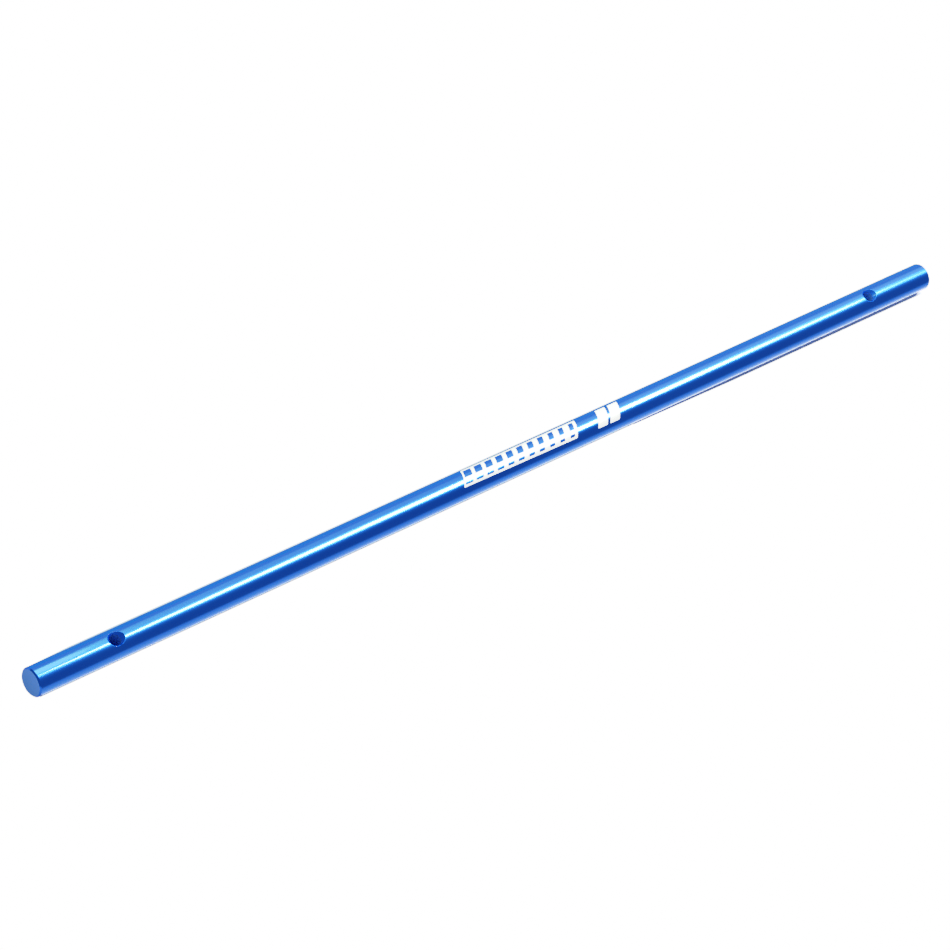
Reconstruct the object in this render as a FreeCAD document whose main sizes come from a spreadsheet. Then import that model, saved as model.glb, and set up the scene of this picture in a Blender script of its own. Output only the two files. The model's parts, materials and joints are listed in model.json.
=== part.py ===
# Cross-pinned drive shaft for a 1/10 scale model car: one straight, solid, round
# aluminium bar, with a countersunk pin hole drilled across it near each end, and
# two plain marks printed in white ink on its upper side.
#
# Millimetres. The origin is the middle of the bar, +X runs along it, and both pin
# holes run along Z. The print's centre line lies a little towards +Y from the top.
import FreeCAD, Part
import os

import Sketcher

SHEET = "Sizes"

# Driving dimensions: alias, value, meaning. Lengths are in mm, angles in degrees.
# Angles of the print are measured round the bar from the print's centre line.
SIZES = [
    ("bar_diameter", 5.0, "outside diameter of the bar"),
    ("bar_length", 210.0, "length over the two end faces"),
    ("end_chamfer", 0.25, "45 degree chamfer round each end face"),
    ("pin_diameter", 2.0, "hole for a cross pin of this size"),
    ("pin_inset", 16.0, "centre of a pin hole from its end face"),
    ("sink_diameter", 3.2, "mouth of the countersink, level with the bar's crown"),
    ("sink_angle", 90.0, "included angle of the countersink"),
    ("ink_thickness", 0.03, "height of the printed film above the bar"),
    ("print_turn", 7.0, "centre line of the print, from +Z towards +Y"),
    ("print_skew", 0.6, "turn of the print out of line with the bar"),
    ("print_half", 41.0, "half the print's height"),
    ("print_lean", 1.75, "how far the print's upper edge leans towards +X"),
    ("rail_start", -13.9, "left end of the printed rail, at mid height"),
    ("rail_length", 26.8, "length of the printed rail"),
    ("rail_line", 9.0, "line along each long edge of the rail"),
    ("rail_low_row", 11.0, "height of the lower row of windows"),
    ("rail_spine", 17.0, "line between the two rows of windows"),
    ("window_count", 11.0, "windows in each row"),
    ("window_first", 1.75, "length of the first window in a row"),
    ("window_last", 1.05, "length of the last window in a row"),
    ("block_start", 17.9, "left end of the first printed block, at mid height"),
    ("block_length", 2.35, "length of one printed block"),
    ("block_gap", 0.6, "gap between the printed blocks"),
    ("block_count", 2.0, "printed blocks"),
]
COUNTS = {alias: int(value) for alias, value, _ in SIZES if alias.endswith("_count")}
RADIUS = f"{SHEET}.bar_diameter / 2"
HOLE_X = f"({SHEET}.bar_length / 2 - {SHEET}.pin_inset)"


def add_sheet(doc):
    """The spreadsheet that the sizes of every sub-part are bound to."""
    sheet = doc.addObject("Spreadsheet::Sheet", SHEET)
    for row, (alias, value, meaning) in enumerate(SIZES, start=1):
        sheet.set(f"A{row}", meaning)
        sheet.set(f"B{row}", str(value))
        sheet.setAlias(f"B{row}", alias)
    doc.recompute()


def bind(item, **expressions):
    """Binds properties of an object to expressions."""
    for name, expression in expressions.items():
        item.setExpression(name, expression)


def add_sketch(body, name, role, offset=None):
    """A sketch on one of the body's own origin planes, or on a plane moved from it."""
    sketch = body.newObject("Sketcher::SketchObject", name)
    plane = next(f for f in body.Origin.OriginFeatures if f.Role == role)
    sketch.AttachmentSupport = [(plane, "")]
    sketch.MapMode = "FlatFace"
    if offset is not None:
        sketch.AttachmentOffset = offset
    return sketch


def add_circle(sketch, label, diameter, x=None):
    """A circle centred on the sketch's X axis, at its origin if x isn't given."""
    start = FreeCAD.Vector(0, 0, 0)
    circle = sketch.addGeometry(Part.Circle(start, FreeCAD.Vector(0, 0, 1), 1.0))
    if x is None:
        sketch.addConstraint(Sketcher.Constraint("Coincident", circle, 3, -1, 1))
    else:
        sketch.addConstraint(Sketcher.Constraint("PointOnObject", circle, 3, -1))
        place = sketch.addConstraint(Sketcher.Constraint("DistanceX", -1, 1, circle, 3, 1.0))
        sketch.renameConstraint(place, label + "_place")
        sketch.setExpression(f"Constraints.{label}_place", x)
    size = sketch.addConstraint(Sketcher.Constraint("Diameter", circle, 2.0))
    sketch.renameConstraint(size, label + "_size")
    sketch.setExpression(f"Constraints.{label}_size", diameter)


def end_edges(shape, length, radius):
    """Names of the two round edges where the bar's side meets its end faces."""
    names = []
    for number, edge in enumerate(shape.Edges, start=1):
        box = edge.BoundBox
        at_end = box.XLength < 1e-6 and abs(abs(box.XMin) - length / 2) < 1e-6
        if at_end and abs(box.YLength - 2 * radius) < 1e-3:
            names.append(f"Edge{number}")
    return names


def drill(doc, body, name, side):
    """Both pin holes, countersunk on one side of the bar: side is 1 for +Z, -1 for -Z."""
    face_out = FreeCAD.Rotation(FreeCAD.Vector(1, 0, 0), 0 if side > 0 else 180)
    offset = FreeCAD.Placement(FreeCAD.Vector(0, 0, 0), face_out)
    sketch = add_sketch(body, name + "_centres", "XY_Plane", offset)
    sketch.setExpression("AttachmentOffset.Base.z", f"{side} * {RADIUS}")
    add_circle(sketch, "right", f"{SHEET}.pin_diameter", HOLE_X)
    add_circle(sketch, "left", f"{SHEET}.pin_diameter", "-" + HOLE_X)
    doc.recompute()
    hole = body.newObject("PartDesign::Hole", name)
    hole.Profile = sketch
    doc.recompute()
    hole.DepthType = "ThroughAll"
    hole.HoleCutType = "Countersink"
    hole.HoleCutCustomValues = True
    bind(hole, Diameter=f"{SHEET}.pin_diameter", HoleCutDiameter=f"{SHEET}.sink_diameter",
         HoleCutCountersinkAngle=f"{SHEET}.sink_angle")
    doc.recompute()
    return hole


def make_shaft(doc, sheet):
    """The machined bar: turned to size, chamfered at both ends and cross-drilled."""
    body = doc.addObject("PartDesign::Body", "Shaft")
    body.Label = "shaft"
    section = add_sketch(body, "bar_section", "YZ_Plane")
    add_circle(section, "bar", f"{SHEET}.bar_diameter")
    doc.recompute()
    bar = body.newObject("PartDesign::Pad", "Bar")
    bar.Profile = section
    bar.SideType = "Symmetric"
    bind(bar, Length=f"{SHEET}.bar_length")
    doc.recompute()
    chamfer = body.newObject("PartDesign::Chamfer", "EndChamfers")
    chamfer.Base = (bar, end_edges(bar.Shape, sheet.bar_length, sheet.bar_diameter / 2))
    bind(chamfer, Size=f"{SHEET}.end_chamfer")
    doc.recompute()
    for name, side in (("PinHolesTop", 1), ("PinHolesBottom", -1)):
        before = body.Shape.Volume
        drill(doc, body, name, side)
        if body.Shape.Volume >= before:
            raise RuntimeError(f"{name} cut nothing")
    return body


def plan(angle):
    """Where a line at that angle round the bar lies in plan, as an expression for Y."""
    return f"{RADIUS} * sin(({angle}) * 1 deg)"


def leaning_prism(doc, name, left, length, low, high):
    """An upright prism whose plan leans towards +X. Left and length are taken at the
    print's mid height, low and high are angles round the bar."""
    lean = f"{SHEET}.print_lean / (2 * {plan(SHEET + '.print_half')})"
    prism = doc.addObject("Part::Wedge", name)
    bind(prism, Ymin=plan(low), Ymax=plan(high))
    bind(prism, Xmin=f"({left}) * 1 mm + {lean} * Ymin", Xmax=f"Xmin + {length} * 1 mm")
    bind(prism, X2min=f"({left}) * 1 mm + {lean} * Ymax", X2max=f"X2min + {length} * 1 mm")
    bind(prism, Zmin="0", Zmax=f"{SHEET}.bar_diameter")
    bind(prism, Z2min="Zmin", Z2max="Zmax")
    return prism


def make_film(doc):
    """A sleeve of ink round the whole bar, from which the marks are taken."""
    inner = doc.addObject("Part::Cylinder", "FilmInside")
    outer = doc.addObject("Part::Cylinder", "FilmOutside")
    bind(inner, Radius=RADIUS, Height=f"{SHEET}.bar_length")
    bind(outer, Radius=f"{RADIUS} + {SHEET}.ink_thickness", Height=f"{SHEET}.bar_length")
    for cylinder in (inner, outer):
        along_x = FreeCAD.Rotation(FreeCAD.Vector(0, 1, 0), 90)
        cylinder.Placement = FreeCAD.Placement(FreeCAD.Vector(0, 0, 0), along_x)
        cylinder.setExpression("Placement.Base.x", f"-{SHEET}.bar_length / 2")
    film = doc.addObject("Part::Cut", "Film")
    film.Base, film.Tool = outer, inner
    return film


def make_print(doc, label, film, stamp):
    """The part of the ink film that a stamp covers, turned to its place round the bar."""
    skew = FreeCAD.Rotation(FreeCAD.Vector(0, 0, -1), 1)
    stamp.Placement = FreeCAD.Placement(FreeCAD.Vector(0, 0, 0), skew)
    stamp.setExpression("Placement.Rotation.Angle", f"{SHEET}.print_skew")
    mark = doc.addObject("Part::Common", label.title().replace("_", ""))
    mark.Label = label
    mark.Base, mark.Tool = film, stamp
    turn = FreeCAD.Rotation(FreeCAD.Vector(-1, 0, 0), 1)
    mark.Placement = FreeCAD.Placement(FreeCAD.Vector(0, 0, 0), turn)
    mark.setExpression("Placement.Rotation.Angle", f"{SHEET}.print_turn")
    return mark


def make_rail(doc, film):
    """The printed rail: a leaning outline with two rows of windows, which get shorter
    towards +X."""
    half = f"{SHEET}.print_half"
    outline = leaning_prism(doc, "RailOutline", f"{SHEET}.rail_start",
                            f"{SHEET}.rail_length", "-" + half, half)
    low_start = f"-{half} + {SHEET}.rail_line"
    low_end = f"{low_start} + {SHEET}.rail_low_row"
    rows = {"Low": (low_start, low_end),
            "High": (f"{low_end} + {SHEET}.rail_spine", f"{half} - {SHEET}.rail_line")}
    pitch = f"{SHEET}.rail_length / {SHEET}.window_count"
    windows = []
    for number in range(COUNTS["window_count"]):
        share = f"{number} / ({SHEET}.window_count - 1)"
        step = f"({SHEET}.window_last - {SHEET}.window_first)"
        length = f"({SHEET}.window_first + {step} * {share})"
        left = f"{SHEET}.rail_start + {pitch} * ({number} + 0.5) - {length} / 2"
        for row, (low, high) in rows.items():
            name = f"Window{row}{number + 1}"
            windows.append(leaning_prism(doc, name, left, length, low, high))
    cut_outs = doc.addObject("Part::MultiFuse", "RailWindows")
    cut_outs.Shapes = windows
    stamp = doc.addObject("Part::Cut", "RailStamp")
    stamp.Base, stamp.Tool = outline, cut_outs
    return make_print(doc, "printed_rail", film, stamp)


def make_blocks(doc, film):
    """The solid printed blocks beyond the rail."""
    half = f"{SHEET}.print_half"
    step = f"({SHEET}.block_length + {SHEET}.block_gap)"
    blocks = [
        leaning_prism(doc, f"Block{number + 1}", f"{SHEET}.block_start + {number} * {step}",
                      f"{SHEET}.block_length", "-" + half, half)
        for number in range(COUNTS["block_count"])
    ]
    stamp = doc.addObject("Part::MultiFuse", "BlockStamp")
    stamp.Shapes = blocks
    return make_print(doc, "printed_blocks", film, stamp)


def check(doc, nodes):
    """Stops if any object of the document failed, or a sub-part isn't sound."""
    for item in doc.Objects:
        if {"Invalid", "Error"} & set(item.State):
            raise RuntimeError(f"{item.Name} failed: {item.State}")
    for node in nodes:
        if node.Shape.isNull() or not node.Shape.isValid() or not node.Shape.Solids:
            raise RuntimeError(f"{node.Label} is not a sound solid")


def main():
    doc = FreeCAD.newDocument("drive_shaft")
    add_sheet(doc)
    film = make_film(doc)
    nodes = [make_shaft(doc, doc.getObject(SHEET)), make_rail(doc, film), make_blocks(doc, film)]
    doc.recompute()
    check(doc, nodes)
    os.makedirs("parts", exist_ok=True)
    for node in nodes:
        node.Shape.exportStep(f"parts/{node.Label}.step")
        solids = len(node.Shape.Solids)
        print(f"{node.Label}: {solids} solid(s), {node.Shape.Volume:.3f} mm3")


main()
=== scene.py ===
import json
import math

import bmesh
import bpy
from mathutils import Matrix, Vector
from mathutils.geometry import tessellate_polygon


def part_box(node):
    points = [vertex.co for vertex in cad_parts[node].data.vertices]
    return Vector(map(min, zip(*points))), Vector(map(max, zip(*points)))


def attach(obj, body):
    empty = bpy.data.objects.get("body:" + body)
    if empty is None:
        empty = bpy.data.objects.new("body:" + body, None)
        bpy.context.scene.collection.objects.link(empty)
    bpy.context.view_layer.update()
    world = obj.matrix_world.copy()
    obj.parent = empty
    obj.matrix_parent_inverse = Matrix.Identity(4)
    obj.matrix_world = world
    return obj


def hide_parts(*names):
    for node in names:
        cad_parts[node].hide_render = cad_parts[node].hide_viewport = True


# A blue anodised drive shaft: a straight solid bar with a countersunk cross-pin hole
# near each end, and two plain marks printed in white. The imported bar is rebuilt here
# as a fine mesh with broken edges, and the marks as thin films of ink wrapped round it.
#
# "Round the bar" angles are measured at the bar's axis from +Z towards +Y, in radians.

MM = 0.001

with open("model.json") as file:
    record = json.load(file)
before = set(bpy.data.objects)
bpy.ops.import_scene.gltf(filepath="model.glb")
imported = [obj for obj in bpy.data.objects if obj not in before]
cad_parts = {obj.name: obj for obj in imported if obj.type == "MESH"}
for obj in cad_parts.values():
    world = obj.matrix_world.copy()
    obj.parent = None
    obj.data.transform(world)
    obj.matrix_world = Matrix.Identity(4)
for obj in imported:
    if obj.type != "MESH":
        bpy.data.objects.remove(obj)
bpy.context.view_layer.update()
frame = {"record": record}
record = frame["record"]

# ---------------------------------------------------------------- sizes of the bar

shaft_low, shaft_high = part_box("shaft")
HALF_LENGTH = (shaft_high.x - shaft_low.x) / 2
RADIUS = (shaft_high.z - shaft_low.z) / 2
PIN_HOLES = [m for m in record["mounts"] if m["kind"] == "bore"]
HOLE_RADIUS = PIN_HOLES[0]["dims"]["r_mm"] * MM
HOLE_WALL_HALF = PIN_HOLES[0]["dims"]["length_mm"] * MM / 2
END_CHAMFER = 0.25 * MM
FLOOR = shaft_low.z
BROKEN_EDGE = 0.025 * MM     # softened width of a machined edge, on each side of it
MOUTH_EDGE = 0.012 * MM      # the same round a countersink's mouth
INNER_EDGE = 0.025 * MM      # the same where a countersink meets the hole's wall
LIP = 1.5 * MOUTH_EDGE       # width round a mouth that is finished like the countersink
SAME_RADIUS = 0.0001 * MM    # closer than this to the bar's radius counts as turned

# ---------------------------------------------------------------- sizes of the print

INK = 0.02 * MM                      # thickness of the printed film
PRINT_TURN = math.radians(7.0)       # centre line of the print
PRINT_SKEW = math.radians(0.6)       # turn of the print out of line with the bar
PRINT_HALF = math.radians(41.0)      # half the print's height
PRINT_LEAN = 1.75 * MM               # how far its upper edge leans towards +X
RAIL_START = -13.9 * MM              # left end of the rail, at mid height
RAIL_LENGTH = 26.8 * MM
RAIL_LINE = math.radians(9.0)        # line along each long edge of the rail
RAIL_LOW_ROW = math.radians(11.0)    # height of the lower row of windows
RAIL_SPINE = math.radians(17.0)      # line between the two rows
WINDOWS = 11                         # in each row
WINDOW_FIRST = 1.75 * MM             # length of the first window in a row
WINDOW_LAST = 1.05 * MM
BLOCK_START = 17.9 * MM              # left end of the first block, at mid height
BLOCK_LENGTH = 2.35 * MM
BLOCK_GAP = 0.6 * MM
BLOCKS = 2
CORNER = 0.16 * MM                   # ink rounds off every corner by about this much

# ---------------------------------------------------------------- tone

WHITE_POINT = 2.0            # scene brightness that comes out as pure white
DEEP_SHADE = 0.08            # scene brightness below which shadows go deep
DEEP_POWER = 1.4             # how suddenly they do
MIDDLE_LIFT = 1.03           # the middle tones come out this much brighter
KNEE = 0.66                  # brightness above which bright tones are held back
TONE_STEPS = 16              # points of the curve, closer together in the shadows

# ---------------------------------------------------------------- the camera

CAMERA_AIM = Vector((-9.583, 0.783, 0.0)) * MM
CAMERA_DISTANCE = 648.66 * MM
CAMERA_AZIMUTH = math.radians(-67.06)
CAMERA_ELEVATION = math.radians(49.243)
CAMERA_ROLL = math.radians(36.294)
CAMERA_LENS = 144.426        # mm
SENSOR_WIDTH = 36.0          # mm


def make_camera():
    """A long lens looking down along the bar, leaning so that the bar climbs to the right."""
    data = bpy.data.cameras.new("camera")
    data.lens = CAMERA_LENS
    data.sensor_width = SENSOR_WIDTH
    data.clip_start, data.clip_end = 0.01, 20.0
    back = Vector((
        math.sin(CAMERA_AZIMUTH) * math.cos(CAMERA_ELEVATION),
        -math.cos(CAMERA_AZIMUTH) * math.cos(CAMERA_ELEVATION),
        math.sin(CAMERA_ELEVATION),
    ))
    level = (-back).to_track_quat("-Z", "Y").to_matrix().to_4x4()
    camera = bpy.data.objects.new("camera", data)
    bpy.context.scene.collection.objects.link(camera)
    place = Matrix.Translation(CAMERA_AIM + back * CAMERA_DISTANCE)
    camera.matrix_world = place @ level @ Matrix.Rotation(CAMERA_ROLL, 4, "Z")
    bpy.context.scene.camera = camera


# ---------------------------------------------------------------- the bar's mesh

AROUND = 144                 # divisions round the bar
PATCH_STEPS = AROUND // 4    # divisions across the square patch round a hole's mouth
PATCH_HALF = 2.6 * MM        # half the patch's length along the bar
STATION_STEP = 3.0 * MM      # spacing of the rings between the patches
WALL_STEPS = 6               # divisions along a hole's wall
MOUTH_ROUNDS = 40            # rounds of working out a mouth's radius, plenty to settle


def on_bar(x, angle, radius=RADIUS):
    """A point at that distance from the axis, at an angle round the bar."""
    return Vector((x, radius * math.sin(angle), radius * math.cos(angle)))


def rounded(start, corner, end, steps=4):
    """Points of a small round-over from start to end that would meet at corner."""
    points = []
    for step in range(steps + 1):
        t = step / steps
        points.append(start * (1 - t) ** 2 + corner * (2 * t * (1 - t)) + end * t ** 2)
    return points


def end_profile():
    """The bar's outline at one end, from the middle of the face to full diameter, as
    (distance from the end face, distance from the axis)."""
    slope = Vector((1, 1)).normalized() * BROKEN_EDGE
    face_corner = Vector((0, RADIUS - END_CHAMFER))
    side_corner = Vector((END_CHAMFER, RADIUS))
    inner = face_corner - Vector((0, BROKEN_EDGE))
    outer = side_corner + Vector((BROKEN_EDGE, 0))
    points = [Vector((0, inner.y * share)) for share in (0.25, 0.5, 0.75, 0.97)]
    points += rounded(inner, face_corner, face_corner + slope)
    points += rounded(side_corner - slope, side_corner, outer)
    points.append(outer + Vector((BROKEN_EDGE, 0)))
    return points


def mouth_radius(angle):
    """Radius of a countersink's mouth, where its 45 degree cone meets the round bar,
    in the direction at that angle from +X in plan."""
    reach = HOLE_RADIUS
    for _ in range(MOUTH_ROUNDS):
        height = math.sqrt(RADIUS ** 2 - (reach * math.sin(angle)) ** 2)
        reach = HOLE_RADIUS + height - HOLE_WALL_HALF
    return reach


def at_mouth(place):
    """True inside a countersink's mouth, and on the narrow lip round it."""
    for mount in PIN_HOLES:
        x, y = place.x - mount["pos_m"][0], place.y
        reach = math.hypot(x, y)
        if reach < PATCH_HALF:
            return reach < mouth_radius(math.atan2(y, x)) + LIP
    return False


class Skin:
    """A mesh in the making: rings of vertices, joined by strips of faces."""

    def __init__(self):
        self.mesh = bmesh.new()

    def ring(self, points):
        return [self.mesh.verts.new(p) for p in points]

    def strip(self, a, b):
        """Quads between two closed rings of the same count."""
        count = len(a)
        for i in range(count):
            j = (i + 1) % count
            self.mesh.faces.new((a[i], a[j], b[j], b[i]))

    def fan(self, ring, centre):
        """Triangles from a closed ring to one point."""
        middle = self.mesh.verts.new(centre)
        for i, vertex in enumerate(ring):
            self.mesh.faces.new((vertex, ring[(i + 1) % len(ring)], middle))

    def finish(self, name):
        """The finished object, smooth, with every face turned outwards. The turned surface
        shades as a true cylinder. "cut" is 1 on the end faces; "bored" is 1 on the holes'
        walls and 0.5 on the countersinks and their lips."""
        bmesh.ops.recalc_face_normals(self.mesh, faces=self.mesh.faces)
        data = bpy.data.meshes.new(name)
        self.mesh.to_mesh(data)
        self.mesh.free()
        data.polygons.foreach_set("use_smooth", [True] * len(data.polygons))
        cut = data.attributes.new("cut", "FLOAT", "POINT")
        bored = data.attributes.new("bored", "FLOAT", "POINT")
        normals = []
        for vertex in data.vertices:
            place = vertex.co
            across = Vector((0, place.y, place.z))
            turned = abs(across.length - RADIUS) < SAME_RADIUS
            normals.append(across.normalized() if turned else vertex.normal)
            at_end = abs(place.x) > HALF_LENGTH - END_CHAMFER * 0.05
            in_hole = not turned and abs(place.x) < HALF_LENGTH - 2 * END_CHAMFER
            in_hole = in_hole or at_mouth(place)
            on_wall = in_hole and abs(place.z) < HOLE_WALL_HALF
            cut.data[vertex.index].value = 1.0 if at_end else 0.0
            bored.data[vertex.index].value = 1.0 if on_wall else 0.5 if in_hole else 0.0
        data.normals_split_custom_set_from_vertices(normals)
        piece = bpy.data.objects.new(name, data)
        bpy.context.scene.collection.objects.link(piece)
        return piece


def stations():
    """Where rings stand along the bar between the two end profiles. Round each hole they
    are the patch's own divisions, so that the patch joins them."""
    edge = HALF_LENGTH - end_profile()[-1].x
    patches = sorted(m["pos_m"][0] for m in PIN_HOLES)
    places = []
    start = -edge
    for centre in patches:
        places += spaced(start, centre - PATCH_HALF)
        step = 2 * PATCH_HALF / PATCH_STEPS
        places += [centre - PATCH_HALF + step * i for i in range(PATCH_STEPS)]
        start = centre + PATCH_HALF
    return places + spaced(start, edge) + [edge]


def spaced(start, end):
    """Evenly spaced places from start up to, and without, end."""
    count = max(1, round((end - start) / STATION_STEP))
    return [start + (end - start) * i / count for i in range(count)]


def patch_border(first):
    """The border of a patch as (station, division round the bar), in order round it.
    The divisions are counted from the crown of the bar."""
    half = PATCH_STEPS // 2
    last = first + PATCH_STEPS
    border = [(last, i) for i in range(-half, half)]
    border += [(last - i, half) for i in range(PATCH_STEPS)]
    border += [(first, -i) for i in range(-half, half)]
    border += [(first + i, -half) for i in range(PATCH_STEPS)]
    return border


def mouth_rings(skin, centre, border, side):
    """The rings from a patch's border in to the mouth of the hole, down its countersink
    and to the start of its wall. Side is 1 at the top of the bar and -1 below."""
    quarter = math.pi / 4
    turns = [2 * math.pi * i / len(border) - quarter for i in range(len(border))]
    rims = [mouth_radius(turn) for turn in turns]
    shares = [0.985, 0.94, 0.86, 0.76, 0.64, 0.51, 0.38, 0.25, 0.13, 0.05]
    rows = [[] for _ in shares]
    lips = []
    for vertex, turn, rim in zip(border, turns, rims):
        rim_angle = math.asin(rim * math.sin(turn) / RADIUS)
        rim_at = Vector((centre + rim * math.cos(turn), rim_angle * RADIUS))
        border_angle = math.atan2(vertex.co.y, side * vertex.co.z)
        border_at = Vector((vertex.co.x, border_angle * RADIUS))
        way = border_at - rim_at
        outer = rim_at + way.normalized() * MOUTH_EDGE
        for row, share in zip(rows, shares):
            row.append(outer.lerp(border_at, share))
        lips.append((outer, rim_at, turn))
    rings = []
    for row in rows:
        rings.append(skin.ring(flip(on_bar(p.x, p.y / RADIUS), side) for p in row))
    outline = [mouth_section(centre, lip) for lip in lips]
    for level in range(len(outline[0])):
        rings.append(skin.ring(flip(section[level], side) for section in outline))
    return rings


def flip(point, side):
    """The point, or its mirror image below the bar's axis."""
    return Vector((point.x, point.y, side * point.z))


def mouth_section(centre, lip):
    """One radial section of a countersink: its softened mouth, cone and inner edge."""
    outer, rim_at, turn = lip
    away = Vector((math.cos(turn), math.sin(turn), 0))
    down_cone = Vector((-away.x, -away.y, -1)).normalized()
    hole_axis = Vector((centre, 0, 0))
    mouth = on_bar(rim_at.x, rim_at.y / RADIUS)
    cone_foot = hole_axis + away * HOLE_RADIUS + Vector((0, 0, HOLE_WALL_HALF))
    section = rounded(on_bar(outer.x, outer.y / RADIUS), mouth, mouth + down_cone * MOUTH_EDGE)
    top, bottom = section[-1], cone_foot - down_cone * INNER_EDGE
    section += [top.lerp(bottom, share) for share in (0.1, 0.35, 0.65, 0.9)]
    section += rounded(bottom, cone_foot, cone_foot - Vector((0, 0, INNER_EDGE)), steps=3)
    section.append(cone_foot - Vector((0, 0, 3 * INNER_EDGE)))
    return section


def make_bar():
    """The whole machined bar as one closed mesh."""
    skin = Skin()
    places = stations()
    turn = 2 * math.pi / AROUND
    grid = {}
    holes = []
    for mount in PIN_HOLES:
        centre = mount["pos_m"][0]
        first = min(range(len(places)), key=lambda n: abs(places[n] - centre + PATCH_HALF))
        holes.append((centre, first))
    half = PATCH_STEPS // 2

    def inside(station, division):
        """True strictly inside a patch, at the top or at the bottom of the bar."""
        along = any(first < station < first + PATCH_STEPS for _, first in holes)
        from_crown = (division + half) % (AROUND // 2) - half
        return along and abs(from_crown) < half

    for station, x in enumerate(places):
        for division in range(AROUND):
            if not inside(station, division):
                grid[station, division] = skin.mesh.verts.new(on_bar(x, division * turn))
    for station in range(len(places) - 1):
        in_patch = any(first <= station < first + PATCH_STEPS for _, first in holes)
        for division in range(AROUND):
            from_crown = (division + half) % (AROUND // 2) - half
            if in_patch and -half <= from_crown < half:
                continue
            after = (division + 1) % AROUND
            corners = ((station, division), (station, after),
                       (station + 1, after), (station + 1, division))
            skin.mesh.faces.new([grid[c] for c in corners])

    for centre, first in holes:
        walls = []
        for side in (1, -1):
            border = []
            for station, division in patch_border(first):
                at = division if side > 0 else AROUND // 2 - division
                border.append(grid[station, at % AROUND])
            rings = [border] + mouth_rings(skin, centre, border, side)
            for a, b in zip(rings, rings[1:]):
                skin.strip(a, b)
            walls.append(rings[-1])
        top, bottom = walls
        last = top
        for step in range(1, WALL_STEPS):
            points = [a.co.lerp(b.co, step / WALL_STEPS) for a, b in zip(top, bottom)]
            ring = skin.ring(points)
            skin.strip(last, ring)
            last = ring
        skin.strip(last, bottom)

    for side, station in ((-1, 0), (1, len(places) - 1)):
        last = [grid[station, division] for division in range(AROUND)]
        for depth, radius in reversed(end_profile()[:-1]):
            x = side * (HALF_LENGTH - depth)
            ring = skin.ring(on_bar(x, i * turn, radius) for i in range(AROUND))
            skin.strip(last, ring)
            last = ring
        skin.fan(last, Vector((side * HALF_LENGTH, 0, 0)))
    return skin.finish("machined_bar")


# ---------------------------------------------------------------- the print's mesh

INK_STEP = math.radians(2.5)  # a film is cut into strips this high, to follow the bar


def leaning_box(left, length, low, high, corner):
    """Outline of a leaning parallelogram with rounded corners, as points (along the bar,
    angle round the bar from the print's centre line). Left is taken at mid height."""
    def at(x, angle):
        return Vector((x + PRINT_LEAN * angle / (2 * PRINT_HALF), angle * RADIUS))

    corners = [at(left, low), at(left + length, low), at(left + length, high), at(left, high)]
    outline = []
    for i, point in enumerate(corners):
        before, after = corners[i - 1], corners[(i + 1) % 4]
        start = point + (before - point).normalized() * corner
        end = point + (after - point).normalized() * corner
        outline += rounded(start, point, end)
    return outline


def wrapped(point, height):
    """A point of the flat print, laid on the bar at a height above its surface."""
    x = point.x * math.cos(PRINT_SKEW) + point.y * math.sin(PRINT_SKEW)
    arc = point.y * math.cos(PRINT_SKEW) - point.x * math.sin(PRINT_SKEW)
    return on_bar(x, arc / RADIUS + PRINT_TURN, RADIUS + height)


def add_film(film, outlines):
    """Adds one printed shape, an outline and the windows in it, to a flat mesh."""
    loops = [[Vector((p.x, p.y, 0)) for p in outline] for outline in outlines]
    verts = [film.verts.new(p) for loop in loops for p in loop]
    for triangle in tessellate_polygon(loops):
        film.faces.new([verts[i] for i in triangle])


def make_print(name, shapes):
    """Printed shapes as one closed film of ink on the bar."""
    film = bmesh.new()
    for outlines in shapes:
        add_film(film, outlines)
    reach = PRINT_HALF * 1.2
    for step in range(round(2 * reach / INK_STEP)):
        cut = (-reach + step * INK_STEP) * RADIUS
        parts = film.verts[:] + film.edges[:] + film.faces[:]
        bmesh.ops.bisect_plane(film, geom=parts, dist=1e-8, plane_co=(0, cut, 0),
                               plane_no=(0, 1, 0))
    film.verts.index_update()
    flat = [vertex.co.copy() for vertex in film.verts]
    film.normal_update()
    faces = [[vertex.index for vertex in face.verts][::1 if face.normal.z > 0 else -1]
             for face in film.faces]
    rims = [[vertex.index for vertex in loop.edge.verts] for loop in rim_loops(film)]
    film.free()
    count = len(flat)
    points = [wrapped(p, INK) for p in flat] + [wrapped(p, 0) for p in flat]
    under = [[i + count for i in reversed(face)] for face in faces]
    walls = [[a, b, b + count, a + count] for a, b in rims]
    data = bpy.data.meshes.new(name)
    data.from_pydata(points, [], faces + under + walls)
    tidy = bmesh.new()
    tidy.from_mesh(data)
    bmesh.ops.recalc_face_normals(tidy, faces=tidy.faces)
    tidy.to_mesh(data)
    tidy.free()
    set_film_normals(data, len(faces))
    piece = bpy.data.objects.new(name, data)
    bpy.context.scene.collection.objects.link(piece)
    return piece


def rim_loops(film):
    """One loop of each edge that lies on the outline of a shape or of a window."""
    return [edge.link_loops[0] for edge in film.edges if edge.is_boundary]


def set_film_normals(data, top_count):
    """The top of the film shades as smoothly as the bar under it; its edges stay crisp."""
    data.polygons.foreach_set("use_smooth", [True] * len(data.polygons))
    normals = []
    for face in data.polygons:
        for index in face.vertices:
            place = data.vertices[index].co
            radial = Vector((0, place.y, place.z)).normalized()
            normals.append(radial if face.index < top_count else face.normal)
    data.normals_split_custom_set(normals)


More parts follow.
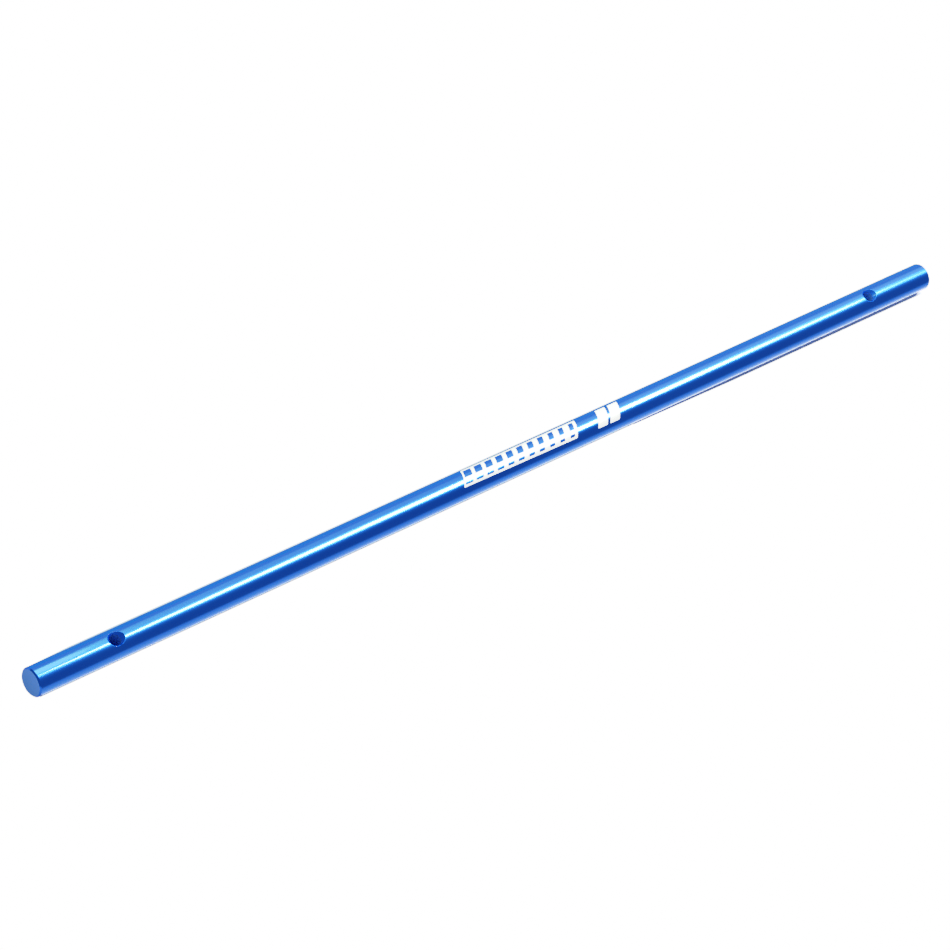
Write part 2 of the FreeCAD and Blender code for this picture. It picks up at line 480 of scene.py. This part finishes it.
def rail_shapes():
    """The rail: a leaning outline with two rows of windows, shorter towards +X."""
    outlines = [leaning_box(RAIL_START, RAIL_LENGTH, -PRINT_HALF, PRINT_HALF, CORNER * 1.5)]
    low = -PRINT_HALF + RAIL_LINE
    rows = ((low, low + RAIL_LOW_ROW),
            (low + RAIL_LOW_ROW + RAIL_SPINE, PRINT_HALF - RAIL_LINE))
    pitch = RAIL_LENGTH / WINDOWS
    for number in range(WINDOWS):
        length = WINDOW_FIRST + (WINDOW_LAST - WINDOW_FIRST) * number / (WINDOWS - 1)
        left = RAIL_START + pitch * (number + 0.5) - length / 2
        outlines += [leaning_box(left, length, bottom, top, CORNER) for bottom, top in rows]
    return [outlines]


def block_shapes():
    """The solid blocks beyond the rail."""
    return [
        [leaning_box(BLOCK_START + n * (BLOCK_LENGTH + BLOCK_GAP), BLOCK_LENGTH,
                     -PRINT_HALF, PRINT_HALF, CORNER * 1.5)]
        for n in range(BLOCKS)
    ]


# ---------------------------------------------------------------- materials


class Nodes:
    """A new material's node tree, with short calls to add and join nodes."""

    def __init__(self, name):
        self.material = bpy.data.materials.new(name)
        self.material.use_nodes = True
        self.tree = self.material.node_tree
        self.surface = self.tree.nodes["Principled BSDF"]

    def add(self, kind, **settings):
        node = self.tree.nodes.new(kind)
        for name, value in settings.items():
            setattr(node, name, value)
        return node

    def join(self, output, target):
        self.tree.links.new(output, target)

    def constant(self, **values):
        """Sets the surface's own sockets: each name is the socket's, in lower case."""
        for name, value in values.items():
            socket = name.replace("_", " ").title().replace("Ior", "IOR")
            self.surface.inputs[socket].default_value = value

    def maths(self, operation, *values):
        node = self.add("ShaderNodeMath", operation=operation)
        for socket, value in zip(node.inputs, values):
            if isinstance(value, (int, float)):
                socket.default_value = value
            else:
                self.join(value, socket)
        return node.outputs[0]

    def ramp(self, value, low, high, to_low=0.0, to_high=1.0):
        """A straight ramp that stays level before low and after high."""
        node = self.add("ShaderNodeMapRange")
        self.join(value, node.inputs["Value"])
        for name, number in (("From Min", low), ("From Max", high),
                             ("To Min", to_low), ("To Max", to_high)):
            node.inputs[name].default_value = number
        return node.outputs["Result"]

    def noise(self, vector, detail):
        node = self.add("ShaderNodeTexNoise")
        node.inputs["Scale"].default_value = 1.0
        node.inputs["Detail"].default_value = detail
        self.join(vector, node.inputs["Vector"])
        return node.outputs["Fac"]

    def stretched(self, along, across):
        """Object coordinates in metres, scaled along the bar and across it."""
        place = self.add("ShaderNodeTexCoord")
        scaling = self.add("ShaderNodeMapping")
        scaling.inputs["Scale"].default_value = (along, across, across)
        self.join(place.outputs["Object"], scaling.inputs["Vector"])
        return scaling.outputs["Vector"]

    def place(self):
        """Object coordinates in metres, along X, Y and Z."""
        split = self.add("ShaderNodeSeparateXYZ")
        self.join(self.add("ShaderNodeTexCoord").outputs["Object"], split.inputs["Vector"])
        return [split.outputs[axis] for axis in "XYZ"]

    def show(self, shader):
        """Makes a shader the material's surface."""
        self.join(shader, self.tree.nodes["Material Output"].inputs["Surface"])

    def mixed(self, share, first, second):
        """A mix of two colours, each a plain colour or a node's output."""
        node = self.add("ShaderNodeMix", data_type="RGBA")
        self.join(share, node.inputs[0])
        for socket, colour in ((node.inputs[6], first), (node.inputs[7], second)):
            if isinstance(colour, tuple):
                socket.default_value = (*colour, 1)
            else:
                self.join(colour, socket)
        return node.outputs[2]


def anodised_blue():
    """Polished aluminium under a deep blue, glass-clear anodised layer. The end faces are
    duller and a little paler, the countersinks duller, and the holes' walls matt."""
    m = Nodes("anodised_blue")
    m.constant(coat_weight=0.86, coat_roughness=0.06, coat_ior=1.5,
               specular_tint=(0.08, 0.40, 1.0, 1))
    cut = m.add("ShaderNodeAttribute", attribute_name="cut").outputs["Fac"]
    bored = m.add("ShaderNodeAttribute", attribute_name="bored").outputs["Fac"]
    cloud = m.noise(m.stretched(40, 120), 3.0)
    turned = m.mixed(m.ramp(cloud, 0.3, 0.7), (0.034, 0.168, 0.780), (0.038, 0.180, 0.820))
    sawn = m.noise(m.stretched(3000, 3000), 3.0)
    dull = m.mixed(m.ramp(sawn, 0.3, 0.7), (0.110, 0.260, 0.700), (0.125, 0.285, 0.740))
    outside = m.mixed(cut, turned, dull)
    wall = m.ramp(bored, 0.5, 1.0)
    m.join(m.mixed(wall, outside, (0.190, 0.310, 0.600)), m.surface.inputs["Base Color"])
    m.join(m.ramp(wall, 0, 1, 1.0, 0.0), m.surface.inputs["Metallic"])
    drawn = m.noise(m.stretched(4, 6000), 2.0)
    smooth = m.ramp(drawn, 0.3, 0.7, 0.205, 0.225)
    worked = m.maths("MULTIPLY_ADD", cut, 0.16, smooth)
    m.join(m.maths("MULTIPLY_ADD", bored, 0.5, worked), m.surface.inputs["Roughness"])
    bump = m.add("ShaderNodeBump")
    bump.inputs["Strength"].default_value = 0.02
    bump.inputs["Distance"].default_value = 0.02 * MM
    m.join(drawn, bump.inputs["Height"])
    m.join(bump.outputs["Normal"], m.surface.inputs["Normal"])
    return m.material


def white_ink():
    """Opaque white printing ink, slightly uneven, with a soft gloss."""
    m = Nodes("white_ink")
    m.constant(roughness=0.38, ior=1.5)
    cloud = m.noise(m.stretched(900, 900), 3.0)
    colour = m.mixed(m.ramp(cloud, 0.35, 0.65), (0.89, 0.91, 0.92), (0.92, 0.93, 0.93))
    m.join(colour, m.surface.inputs["Base Color"])
    return m.material


def shaded_paper():
    """Dim bluish paper that stands in for the bar's shade, for the stage only: a painted
    shadow, its blue a painted glow from the bar.
    """
    m = Nodes("shaded_paper")
    m.constant(base_color=(0.62, 0.69, 0.78, 1), roughness=1.0, specular_ior_level=0.0)
    return m.material


def bar_shade():
    """Dim blue paper close under the bar, for the stage only: a painted shadow, its blue a
    painted glow from the bar. Towards its far edge the camera sees it fade into the floor's
    white; the bar reflects it dim all over."""
    m = Nodes("bar_shade")
    m.constant(base_color=(0.11, 0.26, 0.52, 1), roughness=1.0, specular_ior_level=0.0)
    along, across, _ = m.place()
    fading = m.maths("MULTIPLY", m.ramp(across, 0.1 * RADIUS, 1.3 * RADIUS),
                     m.ramp(along, -100 * MM, 40 * MM, 0.1, 0.7))
    seen = m.add("ShaderNodeLightPath").outputs["Is Camera Ray"]
    white = m.add("ShaderNodeEmission")
    white.inputs["Strength"].default_value = WHITE_POINT
    blend = m.add("ShaderNodeMixShader")
    m.join(m.maths("MULTIPLY", fading, seen), blend.inputs[0])
    m.join(m.surface.outputs["BSDF"], blend.inputs[1])
    m.join(white.outputs["Emission"], blend.inputs[2])
    m.show(blend.outputs["Shader"])
    m.material.cycles.emission_sampling = "NONE"
    return m.material


def bleached_floor():
    """A white floor that glows, for the stage only. The camera sees it as one even white.
    Every other ray, and so the bar's reflection, meets a graded glow of painted light and
    shade: in front brighter close by than far off, behind the other way round and with a
    painted bluish cast, and with a level of its own past the left end."""
    m = Nodes("bleached_floor")
    along, across, _ = m.place()
    left, right = -100 * MM, 90 * MM
    # Painted light and shade of the floor round the bar, seen only in reflections: brighter
    # close in front, darker close behind.
    front = m.maths("MAXIMUM", m.maths("MULTIPLY", across, -1.0), 3.3 * MM)
    near = m.maths("DIVIDE", m.ramp(along, left, right, 3.3 * MM, 5.8 * MM), front)
    before = m.maths("ADD", near, m.ramp(along, left, right, 0.64, 0.32))
    behind = m.ramp(across, 4 * MM, 14 * MM, 0.35, 0.78)
    is_behind = m.maths("GREATER_THAN", across, 0.0)
    change = m.maths("MULTIPLY", is_behind, m.maths("SUBTRACT", behind, before))
    beside = m.maths("ADD", before, change)
    beyond = m.ramp(along, -5 * MM - HALF_LENGTH, -HALF_LENGTH, 0.85, 0.62)
    past_end = m.maths("LESS_THAN", along, 2 * MM - HALF_LENGTH)
    glow = m.maths("MULTIPLY_ADD", past_end, m.maths("SUBTRACT", beyond, beside), beside)
    seen = m.add("ShaderNodeLightPath").outputs["Is Camera Ray"]
    white = m.maths("SUBTRACT", WHITE_POINT, glow)
    light = m.add("ShaderNodeEmission")
    m.join(m.maths("MULTIPLY_ADD", seen, white, glow), light.inputs["Strength"])
    unseen = m.maths("SUBTRACT", is_behind, m.maths("ADD", seen, past_end))
    bluish = m.maths("GREATER_THAN", unseen, 0.5)
    m.join(m.mixed(bluish, (1.0, 1.0, 1.0), (0.58, 1.12, 1.25)), light.inputs["Color"])
    m.show(light.outputs["Emission"])
    m.material.cycles.emission_sampling = "NONE"
    return m.material


# ---------------------------------------------------------------- stage and light

FLOOR_HALF = 4000 * MM       # half the floor's width
PAPER_LEVEL = FLOOR + 0.01 * MM
SHADE_NEAR = -0.70 * RADIUS  # edges of the shaded paper under the bar, across the floor
SHADE_FAR = 1.42 * RADIUS
SHADE_MIDDLE = 28 * MM       # place along the bar where the open shadow line begins


def shown(brightness):
    """Share of white shown for a scene brightness: deep shadows, nearly true middle
    tones, and above the knee an even slope up to white."""
    depth = 1 - math.exp(-(brightness / DEEP_SHADE) ** DEEP_POWER)
    slope = (1 - KNEE) / (WHITE_POINT - KNEE)
    return min(MIDDLE_LIFT * brightness * depth, KNEE + slope * (brightness - KNEE))


def set_tone():
    """A camera's tone curve, channel by channel."""
    view = bpy.context.scene.view_settings
    view.view_transform = "Standard"
    view.use_curve_mapping = True
    mapping = view.curve_mapping
    mapping.white_level = (WHITE_POINT, WHITE_POINT, WHITE_POINT)
    for step in range(1, TONE_STEPS):
        place = (step / TONE_STEPS) ** 2
        mapping.curves[3].points.new(place, shown(place * WHITE_POINT))
    for point in mapping.curves[3].points:
        point.handle_type = "AUTO_CLAMPED"
    mapping.update()


def flat_sheet(name, corners, level, material):
    """A flat level sheet of the stage, with its corners given in plan."""
    data = bpy.data.meshes.new(name)
    points = [(x, y, level) for x, y in corners]
    data.from_pydata(points, [], [tuple(range(len(points)))])
    data.materials.append(material)
    sheet = bpy.data.objects.new(name, data)
    bpy.context.scene.collection.objects.link(sheet)


def make_floor():
    """A wide glowing floor, which takes no shadow, and on it narrow strips of dim paper
    that stand in for the bar's shadow."""
    half = FLOOR_HALF
    flat_sheet("floor", [(-half, -half), (half, -half), (half, half), (-half, half)],
               FLOOR, bleached_floor())
    near, far, middle, right = SHADE_NEAR, SHADE_FAR, SHADE_MIDDLE, HALF_LENGTH
    left = 1.5 * MM - HALF_LENGTH
    flat_sheet("shaded_strip", [
        (left, near - 0.17 * MM), (middle, near - 0.19 * MM), (middle, near),
        (right - 2 * MM, near), (right, near + 0.6 * MM),
        (right, far), (middle, far + 0.03 * MM),
        (left + 9.5 * MM, far + 0.10 * MM), (left + 1.1 * MM, far - 0.09 * MM),
        (left - 1.4 * MM, 0)], PAPER_LEVEL, bar_shade())
    gap, shade = near - 0.08 * MM, near - 0.58 * MM
    flat_sheet("shadow_line", [
        (middle, gap), (middle, gap - 0.20 * MM), (53 * MM, shade),
        (right, shade - 0.08 * MM), (right, gap)], PAPER_LEVEL, shaded_paper())


def softbox(name, low, high, start, end, radiance, shape="RECTANGLE", distance=1.2,
            colour=(1.0, 1.0, 1.0)):
    """A long soft light parallel to the bar, between two angles round it in degrees, from
    +Z towards -Y, with its near edge at start and its far edge at end along X."""
    middle = math.radians((low + high) / 2)
    width = 2 * distance * math.tan(math.radians(high - low) / 2)
    data = bpy.data.lights.new(name, "AREA")
    data.shape = shape
    data.size, data.size_y = end - start, width
    data.energy = radiance * math.pi * data.size * data.size_y
    data.color = colour
    light = bpy.data.objects.new(name, data)
    bpy.context.scene.collection.objects.link(light)
    away = Vector((0, -math.sin(middle), math.cos(middle)))
    side = away.cross(Vector((1, 0, 0)))
    turn = Matrix((Vector((1, 0, 0)), side, away)).transposed().to_4x4()
    centre = away * distance + Vector(((start + end) / 2, 0, 0))
    light.matrix_world = Matrix.Translation(centre) @ turn
    light.visible_camera = False


def make_lights():
    """A grey studio, two nested lights for the long highlight, and fainter ones behind."""
    world = bpy.data.worlds.new("studio")
    world.use_nodes = True
    world.node_tree.nodes["Background"].inputs["Color"].default_value = (0.37, 0.37, 0.37, 1)
    bpy.context.scene.world = world
    softbox("key", -13, 4, 0.184, 0.560, 24.0, shape="ELLIPSE", distance=0.5)
    softbox("key_core", -17, 8, 0.309, 0.515, 32.0, shape="ELLIPSE", distance=0.5)
    softbox("back_fill", -52, -18, -0.10, 0.052, 2.8, distance=0.25, colour=(0.92, 1.12, 0.62))
    softbox("back_glow", -52, -25, 1.12, 1.6, 0.35, distance=1.4)
    softbox("back_wall", -62, -17, 0.0, 2.6, 0.85, distance=1.4)
    softbox("low_wall", -98, -62, 0.0, 2.6, 0.45, distance=1.4)


# ---------------------------------------------------------------- the object

make_camera()

bar = make_bar()
bar.data.materials.append(anodised_blue())
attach(bar, "root")
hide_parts("shaft")

ink = white_ink()
for piece_name, node, shapes in (("rail_print", "printed_rail", rail_shapes()),
                                 ("block_print", "printed_blocks", block_shapes())):
    piece = make_print(piece_name, shapes)
    piece.data.materials.append(ink)
    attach(piece, "root")
    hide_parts(node)

make_floor()
make_lights()
set_tone()
